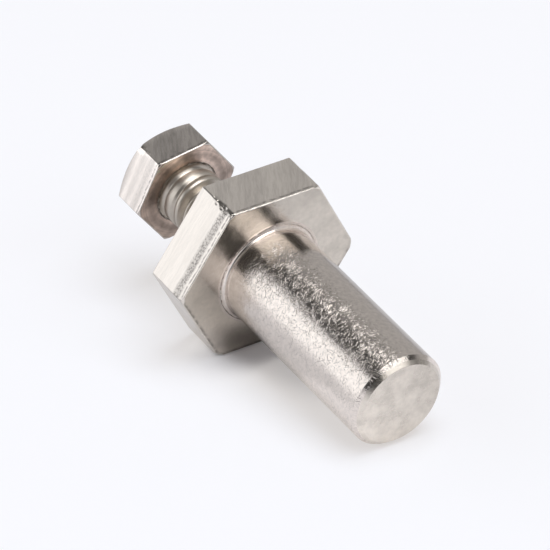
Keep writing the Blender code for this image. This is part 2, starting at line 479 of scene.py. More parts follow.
# Larger dings on the pin, and last the nick in its rim: along in mm, round in degrees and turn
# in degrees, then half length, half width and depth in mm
DINGS = (
    (3.7, 103, 40, 0.5, 0.16, 0.03),
    (9.6, 103, 60, 0.6, 0.15, 0.035),
    (7.4, 108, 75, 0.5, 0.13, 0.03),
    (12.2, 105, 80, 0.55, 0.15, 0.035),
    (13.4, 102, 70, 0.5, 0.14, 0.03),
    (14.9, 106, 60, 0.45, 0.15, 0.03),
    (11.5, 128, 35, 0.65, 0.15, 0.03),
    (9.1, 131, 40, 0.6, 0.14, 0.03),
    (17.5, 136, 50, 0.5, 0.15, 0.025),
    (22.25, 212, 0, 0.35, 0.3, 0.25),
)


def ding_round(bm, radius, dings):
    """Presses long shallow dings into the round pin."""
    for x, degrees, swing, long, wide, depth in dings:
        middle = math.radians(degrees)
        turn = Matrix.Rotation(-math.radians(swing), 2)
        for vert in bm.verts:
            across = Vector((vert.co.y, vert.co.z)).length
            if vert.co.x < 0 or abs(vert.co.x / MM - x) > long or across < radius * 0.9:
                continue
            round_it = (math.atan2(vert.co.z, vert.co.y) - middle) * radius / MM
            u, v = turn @ Vector((vert.co.x / MM - x, round_it))
            away = (u / long) ** 2 + (v / wide) ** 2
            if away < 1:
                vert.co -= depth * MM * (1 - away) ** 2 * Vector((0, vert.co.y, vert.co.z)) / across


def unwrap(bm, round_kinds, radius):
    """A map in millimetres: along and round the round surfaces, and across the flat ones."""
    layer = bm.loops.layers.uv.new("surface")
    for face in bm.faces:
        normal = face.normal
        centre = face.calc_center_median()
        if face.material_index in round_kinds:
            middle = math.atan2(centre.z, centre.y) % (2 * math.pi)
            for loop in face.loops:
                p = loop.vert.co
                angle = math.atan2(p.z, p.y)
                angle += 2 * math.pi * round((middle - angle) / (2 * math.pi))
                loop[layer].uv = (p.x / MM, angle * radius / MM)
        elif abs(normal.x) > 0.7:
            for loop in face.loops:
                loop[layer].uv = (loop.vert.co.y / MM, loop.vert.co.z / MM)
        else:
            side = round((math.atan2(centre.z, centre.y) - math.pi / 6) / (math.pi / 3))
            angle = math.pi / 6 + side * math.pi / 3
            across = Vector((0, -math.sin(angle), math.cos(angle)))
            for loop in face.loops:
                loop[layer].uv = (loop.vert.co.x / MM, loop.vert.co.dot(across) / MM + FLAT_APART * side)


def finish_mesh(bm, name, materials, place, node):
    """The finished piece, lying where its CAD node lies."""
    mesh = bpy.data.meshes.new(name)
    bm.to_mesh(mesh)
    bm.free()
    mesh.shade_smooth()
    mesh.transform(place)
    for material in materials:
        mesh.materials.append(material)
    piece = bpy.data.objects.new(name, mesh)
    bpy.context.scene.collection.objects.link(piece)
    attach(piece, "root")
    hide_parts(node)


# Materials


def add(tree, kind, inputs=None, **settings):
    """A new node, with its settings, and its inputs set or linked."""
    node = tree.nodes.new("ShaderNode" + kind)
    for name, value in settings.items():
        setattr(node, name, value)
    for name, value in (inputs or {}).items():
        if isinstance(value, bpy.types.NodeSocket):
            tree.links.new(value, node.inputs[name])
        else:
            node.inputs[name].default_value = value
    return node


def maths(tree, operation, *values, clamp=False):
    node = add(tree, "Math", dict(enumerate(values)), operation=operation, use_clamp=clamp)
    return node.outputs[0]


def product(tree, *values):
    """All the values multiplied."""
    total = values[0]
    for value in values[1:]:
        total = maths(tree, "MULTIPLY", total, value)
    return total


def centred(tree, value):
    return maths(tree, "SUBTRACT", value, 0.5)


def shaded(tree, tone, mask, change):
    """The tone, raised or lowered by this share where the mask is 1."""
    return product(tree, tone, maths(tree, "MULTIPLY_ADD", mask, change, 1.0))


def between(tree, value, low, high, to_low=0.0, to_high=1.0):
    """The value's place between low and high, smoothed, from to_low to to_high."""
    node = add(
        tree,
        "MapRange",
        {"Value": value, "From Min": low, "From Max": high, "To Min": to_low, "To Max": to_high},
        interpolation_type="SMOOTHSTEP",
    )
    return node.outputs["Result"]


def stripe(tree, value, start, full, fading, end):
    """1 from full to fading, and 0 before start and after end."""
    return product(tree, between(tree, value, start, full), between(tree, value, end, fading))


def vectors(tree, operation, *given):
    """A sum, product or difference of vectors."""
    return add(tree, "VectorMath", dict(enumerate(given)), operation=operation).outputs[0]


def scaled(tree, vector, amount):
    return add(tree, "VectorMath", {0: vector, "Scale": amount}, operation="SCALE").outputs[0]


def measured(tree, operation, *given):
    """The length of a vector, or how far it reaches along another."""
    return add(tree, "VectorMath", dict(enumerate(given)), operation=operation).outputs["Value"]


def parts_of(tree, vector):
    return add(tree, "SeparateXYZ", {0: vector}).outputs


def swung(tree, vector, angle):
    return add(tree, "VectorRotate", {"Vector": vector, "Angle": angle}, rotation_type="Z_AXIS").outputs[0]


def surface_map(tree):
    """The map that unwrap makes, in millimetres."""
    return add(tree, "UVMap", uv_map="surface").outputs[0]


def speckle(tree, where, scale, seed, detail=2.0, roughness=0.5):
    node = add(
        tree,
        "TexNoise",
        {"Vector": where, "W": seed, "Scale": scale, "Detail": detail, "Roughness": roughness},
        noise_dimensions="4D",
    )
    return node.outputs["Fac"]


def effect(name, inputs, outputs, build):
    """A shader node group, made once. build gets the tree and its inputs, and gives its outputs."""
    tree = bpy.data.node_groups.get(name)
    if tree is None:
        tree = bpy.data.node_groups.new(name, "ShaderNodeTree")
        for label, value in inputs.items():
            socket = tree.interface.new_socket(label, in_out="INPUT", socket_type="NodeSocketFloat")
            socket.default_value = value
        for label in outputs:
            tree.interface.new_socket(label, in_out="OUTPUT", socket_type="NodeSocketFloat")
        given = tree.nodes.new("NodeGroupInput")
        result = tree.nodes.new("NodeGroupOutput")
        for label, value in build(tree, given.outputs).items():
            tree.links.new(value, result.inputs[label])
    return tree


def use(tree, group, **inputs):
    node = tree.nodes.new("ShaderNodeGroup")
    node.node_tree = group
    for name, value in inputs.items():
        label = name.capitalize()
        if isinstance(value, bpy.types.NodeSocket):
            tree.links.new(value, node.inputs[label])
        else:
            node.inputs[label].default_value = value
    return node.outputs


def build_cells(tree, given):
    """Scattered cells on the surface's map, each with its own bent and turned coordinates."""
    seed = add(tree, "CombineXYZ", {0: given["Seed"], 1: given["Seed"]}).outputs[0]
    place = vectors(tree, "ADD", scaled(tree, surface_map(tree), given["Scale"]), seed)
    spread = {"Vector": place, "Scale": 1.0, "Randomness": 0.85}
    cell = add(tree, "TexVoronoi", spread, voronoi_dimensions="2D").outputs
    chance = add(tree, "SeparateColor", {0: cell["Color"]}).outputs
    angle = maths(tree, "MULTIPLY_ADD", centred(tree, chance[0]), given["Spread"], given["Angle"])
    offset = vectors(tree, "SUBTRACT", place, cell["Position"])
    along, across, _ = parts_of(tree, swung(tree, offset, angle))
    bend = product(tree, centred(tree, chance[1]), given["Bend"])
    across = maths(tree, "MULTIPLY_ADD", product(tree, along, along), bend, across)
    return {"Along": along, "Across": across, "Away": cell["Distance"], "Chance": chance[2]}


def cells(tree, scale, seed, angle, spread, bend):
    inputs = {"Scale": 1.0, "Seed": 0.0, "Angle": 0.0, "Spread": 1.0, "Bend": 1.0}
    group = effect("scattered cells", inputs, ("Along", "Across", "Away", "Chance"), build_cells)
    return use(tree, group, scale=scale, seed=seed, angle=angle, spread=spread, bend=bend)


def hatching(tree, scale, seed, fineness, angle, spread, bend):
    """Patches of fine bent lines, each patch in its own direction."""
    cell = cells(tree, scale, seed, angle, spread, bend)
    reach = fineness / scale
    where = add(
        tree,
        "CombineXYZ",
        {
            0: product(tree, cell["Along"], 0.14 * reach),
            1: product(tree, cell["Across"], reach),
            2: product(tree, cell["Chance"], 40.0),
        },
    ).outputs[0]
    lines = add(tree, "TexNoise", {"Vector": where, "Scale": 1.0, "Detail": 1.5}).outputs["Fac"]
    return product(tree, centred(tree, lines), between(tree, cell["Away"], 0.72, 0.3))


def scratch(tree, scale, seed, width, angle, spread, bend, density):
    """One short scratch in each cell."""
    cell = cells(tree, scale, seed, angle, spread, bend)
    away = maths(tree, "ABSOLUTE", cell["Across"])
    line = maths(tree, "MULTIPLY_ADD", away, -1 / (width * scale), 1.0, clamp=True)
    ends = between(tree, maths(tree, "ABSOLUTE", cell["Along"]), 0.5, 0.25)
    there = between(tree, cell["Chance"], density, density - 0.2)
    return product(tree, line, ends, there)


def build_scuffs(tree, given):
    """Curled scuffs in patches, mostly across the pin, and hairlines in all directions."""
    across = math.pi / 2
    wide = hatching(tree, scale=0.85, seed=3.1, fineness=9.5, angle=across, spread=1.9, bend=1.0)
    fine = hatching(tree, scale=1.6, seed=41.3, fineness=15.0, angle=across, spread=2.6, bend=1.0)
    hatch = maths(tree, "ADD", wide, product(tree, fine, 0.85))
    large = scratch(
        tree, scale=1.4, seed=67.9, width=0.045, angle=across, spread=2.2, bend=1.0, density=0.8
    )
    small = scratch(
        tree, scale=2.5, seed=133.3, width=0.038, angle=across, spread=3.6, bend=0.8, density=0.9
    )
    cuts = maths(tree, "ADD", large, small)
    return {"Hatch": hatch, "Strong": between(tree, hatch, 0.1, 0.24), "Cuts": cuts}


def scuffs():
    return effect("scuffs", {}, ("Hatch", "Strong", "Cuts"), build_scuffs)


def build_grain(tree, given):
    """Fine lines left by a belt or a tool, at an angle on the surface's map, and soft bands along them."""
    lying = swung(tree, surface_map(tree), given["Angle"])
    fine = vectors(tree, "MULTIPLY", lying, (0.5, 4.5, 1.0))
    soft = vectors(tree, "MULTIPLY", lying, (0.06, 1.1, 1.0))
    return {
        "Lines": speckle(tree, fine, 1.0, 0.5, detail=3.0, roughness=0.75),
        "Bands": speckle(tree, soft, 1.0, 5.5),
    }


def grain():
    return effect("directional grain", {"Angle": 0.0}, ("Lines", "Bands"), build_grain)


def build_mottle(tree, given):
    """Soft uneven spots, wide and small ones."""
    where = add(tree, "TexCoord").outputs["Object"]
    wide = speckle(tree, where, 420, 6.2, detail=3.0, roughness=0.55)
    small = speckle(tree, where, 2100, 8.8, detail=3.0, roughness=0.6)
    return {"Wide": wide, "Small": small}


def mottle():
    return effect("mottling", {}, ("Wide", "Small"), build_mottle)


def build_edge_wear_and_shade(tree, given):
    """A painted dark line of shade beside the front edge of a bar, and a painted grey band of shade along
    it, with pits in that band.
    """
    surface = surface_map(tree)
    gap = product(tree, parts_of(tree, surface)[0], -1.0)
    broken = speckle(tree, surface, 6.5, 2.2, detail=3.0, roughness=0.8)
    wander = speckle(tree, surface, 0.8, 7.2, detail=1.0)
    moved = maths(tree, "MULTIPLY_ADD", centred(tree, wander), 0.3, gap)
    # Painted shade: a dark line just behind the edge, and a grey band further back
    line = stripe(tree, moved, 0.18, 0.28, 0.34, 0.46)
    line = product(tree, line, between(tree, speckle(tree, surface, 2.2, 4.4), 0.38, 0.56))
    band = stripe(tree, moved, 0.5, 0.85, 1.25, 1.75)
    pits = product(tree, band, between(tree, broken, 0.42, 0.62))
    return {"Line": line, "Band": band, "Pits": pits}


def edge_wear_and_shade():
    return effect("edge wear and painted shade", {}, ("Line", "Band", "Pits"), build_edge_wear_and_shade)


def new_metal(name, roughness):
    material = bpy.data.materials.new(name)
    material.use_nodes = True
    tree = material.node_tree
    shader = tree.nodes["Principled BSDF"]
    shader.inputs["Metallic"].default_value = 1
    shader.inputs["Roughness"].default_value = roughness
    return material, tree, shader


def tinted(tree, shader, tint, amount):
    """The tint, made lighter or darker by an amount round 1."""
    tree.links.new(scaled(tree, (*tint,), amount), shader.inputs["Base Color"])


def bumped(tree, shader, heights):
    """One bump from (height, distance in millimetres) pairs."""
    total = 0.0
    for height, distance in heights:
        total = maths(tree, "MULTIPLY_ADD", height, distance, total)
    normal = add(tree, "Bump", {"Height": total, "Distance": MM, "Strength": 1.0}).outputs["Normal"]
    tree.links.new(normal, shader.inputs["Normal"])


# How scuffed the pin is, as (share of a turn from +Y over the top, amount)
SCUFFS_ROUND = (
    (0.0, 0.3),
    (0.15, 0.12),
    (0.225, 0.2),
    (0.26, 0.85),
    (0.3, 1.0),
    (0.36, 1.0),
    (0.4, 0.85),
    (0.5, 0.5),
    (0.62, 0.75),
    (0.88, 0.7),
)


def levels(tree, value, stops):
    """A run of grey levels from (place, level) stops."""
    ramp = add(tree, "ValToRGB", {"Fac": value})
    elements = ramp.color_ramp.elements
    for k, (place, level) in enumerate(stops):
        element = elements[k] if k < 2 else elements.new(place)
        element.position = place
        element.color = (level, level, level, 1)
    return ramp.outputs["Color"]


def turned_metal(pin):
    """The round pin: bright, scuffed all over with short curled scratches, most along its upper side.

    Its root is a little lighter all round, a painted highlight, with a painted dark reflection line on the
    upper left, and duller on the right.
    """
    material, tree, shader = new_metal("turned_pin", pin.roughness)
    marks = use(tree, scuffs())
    spots = use(tree, mottle())
    lines = use(tree, grain(), angle=math.pi / 2)
    along, round_it, _ = parts_of(tree, surface_map(tree))
    turn = maths(tree, "DIVIDE", round_it, math.pi * pin.pin_diameter / MM)

    patches = between(tree, spots["Wide"], 0.35, 0.6, 0.6, 1.1)
    clear = between(tree, along, 1.0, 2.4)
    amount = product(tree, levels(tree, turn, SCUFFS_ROUND), patches, clear, pin.scuffs)
    hatch = product(tree, marks["Hatch"], amount)
    strong = product(tree, marks["Strong"], amount)
    cuts = product(tree, marks["Cuts"], amount)

    # Near the root a painted highlight lightens the tone, and a painted dark reflection line runs along its
    # upper left
    root = between(tree, along, 0.6, 0.2)
    right = product(tree, root, between(tree, turn, 0.25, 0.2))
    line = stripe(tree, along, 0.07, 0.12, 0.17, 0.24)
    line = product(tree, line, stripe(tree, turn, 0.33, 0.36, 0.44, 0.48))

    tone = maths(tree, "MULTIPLY_ADD", cuts, -0.45, between(tree, spots["Small"], 0.3, 0.7, 0.93, 1.05))
    tone = maths(tree, "MULTIPLY_ADD", strong, -0.14, tone)
    tone = shaded(tree, tone, root, 0.12)
    tone = shaded(tree, tone, line, -0.6)
    tinted(tree, shader, pin.tint, tone)
    rough = pin.roughness
    for mask, dulled in ((amount, 0.05), (root, 0.1), (right, 0.35)):
        rough = maths(tree, "MULTIPLY_ADD", mask, dulled, rough)
    tree.links.new(rough, shader.inputs["Roughness"])
    heights = (
        (lines["Lines"], 0.001),
        (spots["Small"], 0.005),
        (spots["Wide"], 0.03),
        (hatch, 0.028),
        (strong, 0.007),
        (cuts, 0.013),
    )
    bumped(tree, shader, heights)
    return material


def flat_metal(name, tint, roughness, line_angle, top_lines, side_lines, side_painted_light, worn_and_shaded_band, painted_light_bands):
    """Flats of hexagon bar, with fine lines, soft bands and a painted dark line beside the front edge; on
    the side flat a pitted band along that edge is darkened, partly as wear and partly as painted shade.

    The lines run at line_angle on the upper flats and upright on the side ones. The side flat's tone is
    scaled as painted light and shade, with painted bands of light that rise and fall along the bar.
    """
    material, tree, shader = new_metal(name, roughness)
    place = parts_of(tree, surface_map(tree))
    side = between(tree, place[1], 1.5 * FLAT_APART - 1, 1.5 * FLAT_APART + 1)
    angle = maths(tree, "MULTIPLY_ADD", side, math.pi / 2 - line_angle, line_angle)
    strength = maths(tree, "MULTIPLY_ADD", side, side_lines - top_lines, top_lines)
    lines = use(tree, grain(), angle=angle)
    spots = use(tree, mottle())
    edge = use(tree, edge_wear_and_shade())
    fine = product(tree, between(tree, lines["Lines"], 0.6, 0.38, 0.0, -0.2), strength)
    soft = product(tree, between(tree, lines["Bands"], 0.38, 0.62, -0.1, 0.03), strength)
    worn = maths(tree, "MULTIPLY_ADD", edge["Pits"], 2.3, product(tree, edge["Band"], 0.8))
    worn = product(tree, worn, side, worn_and_shaded_band)
    wave = maths(tree, "COSINE", maths(tree, "MULTIPLY_ADD", place[0], -4.59, -1.6))

    tone = maths(tree, "ADD", maths(tree, "ADD", fine, soft), 1.1)
    # A painted dark line of shade beside the front edge, then the pitted band, darkened partly as wear and
    # partly as painted shade
    tone = shaded(tree, tone, edge["Line"], -0.45)
    tone = shaded(tree, tone, worn, -0.22)
    # The side flat's tone scaled as painted light and shade, with a painted wave of light along the bar
    tone = shaded(tree, tone, side, side_painted_light - 1)
    tone = shaded(tree, tone, product(tree, wave, side), painted_light_bands)
    tinted(tree, shader, tint, tone)
    heights = ((lines["Lines"], 0.002), (spots["Small"], 0.002), (spots["Wide"], 0.01), (worn, 0.003))
    bumped(tree, shader, heights)
    return material


def lower_edge_darkening(tree, fine_spots, across_flats):
    """A darker band, broken up by fine spots, along the lower edges of a hexagon face."""
    surface = surface_map(tree)
    reach = 0.0
    for degrees in (30, 90, 150):
        out = measured(tree, "DOT_PRODUCT", surface, towards(degrees, 0))
        reach = maths(tree, "MAXIMUM", reach, maths(tree, "ABSOLUTE", out))
    gap = maths(tree, "SUBTRACT", across_flats / 2 / MM, reach)
    low = between(tree, parts_of(tree, surface)[1], 1.0, -1.0)
    return product(tree, between(tree, gap, 0.5, 0.15), between(tree, fine_spots, 0.35, 0.6), low)


def faced_metal(name, tint, roughness, waviness, painted_light_lean=None, darkened_across=None):
    """A turned face, satin and softly mottled.

    Its tone can grow lighter towards one side and darker towards the other, as painted light and shade,
    by the given change for each millimetre, and the lower edges of a hexagon face can be darker, given
    the face's size across flats.
    """
    material, tree, shader = new_metal(name, roughness)
    spots = use(tree, mottle())
    wide = between(tree, spots["Wide"], 0.3, 0.7, 1 - 0.09 * waviness, 1 + 0.04 * waviness)
    tone = product(tree, wide, between(tree, spots["Small"], 0.3, 0.7, 0.95, 1.03))
    if painted_light_lean:
        # Painted light and shade: lighter towards one side of the face, darker towards the other
        level = measured(tree, "DOT_PRODUCT", surface_map(tree), (*painted_light_lean, 0.0))
        tone = shaded(tree, tone, level, 1.0)
    if darkened_across:
        tone = shaded(tree, tone, lower_edge_darkening(tree, spots["Small"], darkened_across), -0.55)
    tinted(tree, shader, tint, tone)
    rough = between(tree, spots["Wide"], 0.35, 0.65, roughness - 0.03, roughness + 0.06)
    tree.links.new(rough, shader.inputs["Roughness"])
    bumped(tree, shader, ((spots["Small"], 0.004 * waviness), (spots["Wide"], 0.02 * waviness)))
    return material


def bearing_metal(name, tint, roughness):
    """The dull face under the head, with soft rings turned round the neck whose light and dark tone is
    partly painted reflection, and painted lighter towards the top as painted light.
    """
    material, tree, shader = new_metal(name, roughness)
    spots = use(tree, mottle())
    surface = surface_map(tree)
    away = measured(tree, "LENGTH", surface)
    spacing = {"W": away, "Scale": 1.3, "Detail": 2.0}
    rings = add(tree, "TexNoise", spacing, noise_dimensions="1D").outputs["Fac"]
    # Tone: the rings' contrast is partly painted reflection, and the face is painted lighter towards its
    # top
    tone = product(
        tree,
        between(tree, rings, 0.35, 0.65, 0.82, 1.3),
        between(tree, spots["Small"], 0.3, 0.7, 0.88, 1.08),
        between(tree, spots["Wide"], 0.35, 0.62, 0.72, 1.25),
        between(tree, parts_of(tree, surface)[1], 0.5, 4.0, 1.0, 1.7),
    )
    tinted(tree, shader, tint, tone)
    bumped(tree, shader, ((rings, 0.04), (spots["Small"], 0.006), (spots["Wide"], 0.015)))
    return material


# Operators


# Knocks on the corners, each as the corner in degrees, and in millimetres
# how far behind the front and beside the corner it lies, its radius and its depth
COLLAR_DENTS = (
    (120, 0.1, 0.0, 0.3, 0.09),
    (120, 0.5, 0.08, 0.28, 0.1),
    (120, 0.85, -0.1, 0.42, 0.15),
    (120, 1.3, 0.05, 0.26, 0.12),
    (120, 1.65, -0.05, 0.46, 0.17),
    (120, 2.1, 0.1, 0.25, 0.1),
    (120, 2.5, -0.08, 0.4, 0.14),
    (120, 3.1, 0.0, 0.3, 0.07),
    (240, 0.0, 0.0, 0.75, 0.2),
    (0, 0.0, 0.0, 0.65, 0.13),
    (180, 0.0, 0.0, 0.5, 0.08),
)
HEAD_DENTS = (
    (120, 3.6, -0.1, 0.4, 0.14),
    (120, 3.2, 0.15, 0.34, 0.12),
    (120, 2.75, -0.1, 0.3, 0.09),
    (120, 2.2, 0.1, 0.28, 0.06),
    (120, 0.3, 0.0, 0.26, 0.06),
)


def knocks(across_flats, dents):
    """The dents as (place, radius, depth)."""
    found = []
    for degrees, x, beside, radius, depth in dents:
        angle = math.radians(degrees)
        out = Vector((0, math.cos(angle), math.sin(angle))) * across_flats / math.sqrt(3)
        side = Vector((-x, math.sin(angle) * beside, -math.cos(angle) * beside)) * MM
        found.append((out + side, radius * MM, depth * MM))
    return found


def make_round_pin(bm, pin, angles):
    """The free end, its chamfer, the round side and the root. Gives the ring on the collar's face."""
    radius = pin.pin_diameter / 2
    foot = radius + pin.root_fillet
    end = pin.pin_length
    mid_chamfer = (end - pin.end_chamfer / 2, radius - pin.end_chamfer / 2, 0)
    end_profile = rounded_profile(
        [(end, radius * 0.2, 0), (end, radius - pin.end_chamfer, END_EDGE), mid_chamfer]
    )
    side_profile = rounded_profile(
        [
            mid_chamfer,
            (end - pin.end_chamfer, radius, SIDE_EDGE),
            (STEP_HEIGHT, radius, pin.root_fillet * 0.75),
            (STEP_HEIGHT, foot + STEP_INSIDE, STEP_EDGE),
            (0, foot + STEP_OUTSIDE, STEP_EDGE),
            (0, foot + FACE_MARGIN, 0),
        ],
        steps=8,
    )
    end_rings = [circle(bm, x, r, angles) for x, r in densify(end_profile, END_SPACING)]
    side_rings = [circle(bm, x, r, angles) for x, r in densify(side_profile, SIDE_SPACING)[1:]]
    cap(bm, end_rings[0], end, END)
    skin(bm, end_rings, END)
    skin(bm, [end_rings[-1], *side_rings], ROUND)
    return side_rings[-1]


def make_collar(bm, pin, outline, root):
    """The collar's face, its flats and the edge of its back. Gives the ring inside that edge."""
    angles = [a for _, a in outline]
    wear = pin.edge_radius
    trim = pin.across_flats / math.sqrt(3) - pin.corner_trim
    inner = pin.pin_diameter / 2 + pin.root_fillet + FACE_MARGIN
    starts = [inner] * len(outline)
    ends = [min(r, trim) - wear for r, _ in outline]
    face = rings_across(bm, 0, angles, starts, ends, (0.12, 0.3, 0.5, 0.7, 0.85, 0.94))
    front = hexagon_end(bm, 0, -1, outline, trim, wear)
    skin(bm, [root, *face, front[0]], FACE)
    rows = flat_rows(bm, outline, 0, -1, pin.thickness, COLLAR_FIRST_ROW, COLLAR_ROWS)
    back = hexagon_end(bm, -pin.thickness, 1, outline, 2 * trim, wear)
    skin(bm, [*front, *rows, *reversed(back)], FLATS)
    rim = ring_at(bm, [(-pin.thickness, r - wear - FACE_MARGIN, a) for r, a in outline])
    skin(bm, [back[0], rim], HIDDEN)
    return rim


def groove_start(screw):
    return screw.neck_length + screw.neck_shoulder + screw.plain_shank + screw.pitch / 2


def make_tapped_hole(bm, pin, rim):
    """The hole that the screw goes into from behind, its thread in step with the screw's."""
    screw = screw_settings()
    pitch = screw.pitch
    radius = screw.thread_diameter / 2 + screw.clearance
    depth = HOLE_DEPTH * pitch
    angles = even_angles(ROUND_STEPS)
    mouth = circle(bm, -pin.thickness, radius + MOUTH_CHAMFER, angles)
    fill_between(bm, rim, mouth, HIDDEN)
    first = -pin.thickness + MOUTH_CHAMFER + pitch / 2
    groove = -pin.thickness - screw.stands_out + groove_start(screw) - pitch * screw.turn / (2 * math.pi)
    start = first + (groove - first) % pitch
    turns = round(screw.tapped / pitch)
    before, after = thread(bm, start, turns, pitch, radius, depth, fade_in=0.6, fade_out=2.0, kind=HIDDEN)
    deep = start + turns * pitch + DRILLED_PAST
    bottom = circle(bm, deep, radius - depth, angles)
    skin(bm, [mouth, before], HIDDEN)
    skin(bm, [after, bottom], HIDDEN)
    cap(bm, bottom, deep + (radius - depth) / math.tan(DRILL_POINT), HIDDEN)


class HINGEPIN_OT_pin(bpy.types.Operator):
    """Build the turned pin with its hexagon collar and tapped hole"""

    bl_idname = "hingepin.pin"
    bl_label = "Build Hinge Pin"

    def execute(self, context):
        pin = pin_settings()
        bm = bmesh.new()
        outline = hexagon_outline(pin.across_flats, COLLAR_CORNER, FLAT_STEPS, CORNER_STEPS)
        root = make_round_pin(bm, pin, [a for _, a in outline])
        rim = make_collar(bm, pin, outline, root)
        make_tapped_hole(bm, pin, rim)

        bmesh.ops.recalc_face_normals(bm, faces=bm.faces)
        unwrap(bm, (ROUND,), pin.pin_diameter / 2)
        ding_round(bm, pin.pin_diameter / 2, DINGS)
        edges = hexagon_edges(pin.across_flats, 0, -pin.thickness)
        wear_edges(bm, edges, knocks(pin.across_flats, COLLAR_DENTS))
        flats = flat_metal(
            "collar_flats",
            pin.flat_tint,
            roughness=0.2,
            line_angle=math.radians(-30),
            top_lines=0.65,
            side_lines=0.32,
            # The collar's side flat is painted darker, as painted shade
            side_painted_light=0.85,
            worn_and_shaded_band=1.0,
            painted_light_bands=0.0,
        )
        face = faced_metal(
            "collar_face",
            pin.face_tint,
            roughness=0.18,
            waviness=1.3,
            # The face is painted lighter towards its bottom and darker towards its top, as painted light
            # and shade
            painted_light_lean=(0.0, -0.033),
            darkened_across=pin.across_flats,
        )
        # The pin's end takes the face's colour made a little darker as painted shade, and is painted
        # lighter towards its -Y side and darker towards its +Y side
        shaded_end_tint = Vector(pin.face_tint) * 0.97
        materials = [
            turned_metal(pin),
            flats,
            face,
            faced_metal("pin_end", shaded_end_tint, roughness=0.28, waviness=2.2, painted_light_lean=(-0.024, 0.0)),
            faced_metal("collar_back", pin.tint, roughness=0.3, waviness=1.0),
        ]
        finish_mesh(bm, "pin_and_collar", materials, pin_axis(), "hinge_pin")
        return {"FINISHED"}


def make_head(bm, screw):
    """The head's top, its flats and its bearing face. Gives the ring round the neck."""
    outline = hexagon_outline(screw.across_flats, HEAD_CORNER, HEAD_FLAT_STEPS, CORNER_STEPS)
    angles = [a for _, a in outline]
    count = len(outline)
    wear = screw.edge_radius
    trim = screw.across_flats / 2 - screw.head_trim
    height = screw.head_height
    top = rings_across(bm, -height, angles, [0] * count, [trim - wear] * count, (0.3, 0.6, 0.9))
    top_edge = hexagon_end(bm, -height, 1, outline, trim, wear)
    cap(bm, top[0], -height, HEAD_TOP)
    skin(bm, [*top, top_edge[0]], HEAD_TOP)
    rows = flat_rows(bm, outline, -height, 1, height, HEAD_FIRST_ROW, HEAD_ROWS)
    corner = screw.across_flats / math.sqrt(3) - screw.bearing_trim
    bearing = hexagon_end(bm, 0, -1, outline, corner, wear)
    skin(bm, [*top_edge, *rows, *reversed(bearing)], HEAD_FLATS)
    starts = [min(r, corner) - wear for r, _ in outline]
    ends = [screw.neck_diameter / 2 + screw.neck_fillet + NECK_MARGIN] * count
    face = rings_across(bm, 0, angles, starts, ends, (0.05, 0.15, 0.4, 0.7, 0.9, 1.0))
    skin(bm, [bearing[0], *face], BEARING)
    return face[-1]


def make_shank(bm, screw, rim):
    """The neck with its fillet, the thread and the point."""
    angles = even_angles(ROUND_STEPS)
    radius = screw.thread_diameter / 2
    neck = screw.neck_diameter / 2
    foot = neck + screw.neck_fillet
    shoulder = screw.neck_length + screw.neck_shoulder
    profile = rounded_profile(
        [
            (0, foot + 2 * FILLET_MARGIN, 0),
            (0, foot + FILLET_MARGIN, 0),
            (0, neck, screw.neck_fillet * 0.95),
            (screw.neck_length, neck, STEP_EDGE),
            (shoulder, radius, SIDE_EDGE),
            (shoulder + screw.plain_shank, radius, 0),
        ],
        steps=6,
    )
    rings = [circle(bm, x, r, angles) for x, r in profile[:-1]]
    fill_between(bm, rim, rings[0], BEARING)
    depth = SCREW_DEPTH * screw.pitch
    start = groove_start(screw)
    end = screw.screw_length - screw.point_chamfer
    turns = math.ceil((end - start) / screw.pitch - 0.5) - 1
    before, after = thread(
        bm, start, turns, screw.pitch, radius, depth, fade_in=1.4, fade_out=0.7, kind=THREAD
    )
    skin(bm, [*rings, before], THREAD)
    root = radius - depth
    point = circle(bm, end, root, angles)
    tip = circle(bm, screw.screw_length, root - screw.point_chamfer, angles)
    skin(bm, [after, point, tip], THREAD)
    cap(bm, tip, screw.screw_length, THREAD)


class HINGEPIN_OT_screw(bpy.types.Operator):
    """Build the hexagon head screw"""

    bl_idname = "hingepin.screw"
    bl_label = "Build Screw"

    def execute(self, context):
        screw = screw_settings()
        bm = bmesh.new()
        make_shank(bm, screw, make_head(bm, screw))

        bmesh.ops.recalc_face_normals(bm, faces=bm.faces)
        unwrap(bm, (THREAD,), screw.thread_diameter / 2)
        edges = hexagon_edges(screw.across_flats, 0, -screw.head_height)
        wear_edges(bm, edges, knocks(screw.across_flats, HEAD_DENTS))
        flats = flat_metal(
            "head_flats",
            screw.tint,
            roughness=0.22,
            line_angle=math.radians(-28),
            top_lines=1.1,
            side_lines=0.5,
            # The head's side flat is painted lighter, as painted light, with painted bands of light along
            # it
            side_painted_light=1.28,
            worn_and_shaded_band=0.2,
            painted_light_bands=0.06,
        )
        materials = [
            flats,
            bearing_metal("bearing_face", screw.bearing_shaded_tint, roughness=0.3),
            faced_metal("screw_thread", screw.thread_shaded_tint, screw.roughness, waviness=0.6),
            faced_metal("head_top", screw.tint, roughness=0.3, waviness=1.0),
        ]
        finish_mesh(bm, "hexagon_screw", materials, screw_axis(), "hex_screw")
        return {"FINISHED"}


class HINGEPIN_OT_studio(bpy.types.Operator):
    """Set up the pale floor, the soft studio light and the camera"""

    bl_idname = "hingepin.studio"
    bl_label = "Build Studio"

    def execute(self, context):
        build_floor()
        build_lights()
        build_world()
        build_camera()
        context.scene.view_settings.view_transform = "Standard"
        return {"FINISHED"}


FLOOR_HALF = 3.0


def build_floor():
    """A sheet of pale paper."""
    corners = [(x * FLOOR_HALF, y * FLOOR_HALF, 0) for x, y in ((-1, -1), (1, -1), (1, 1), (-1, 1))]
    mesh = bpy.data.meshes.new("pale_floor")
    mesh.from_pydata(corners, [], [(0, 1, 2, 3)])
    mesh.materials.append(pale_paper())
    floor = bpy.data.objects.new("pale_floor", mesh)
    bpy.context.scene.collection.objects.link(floor)


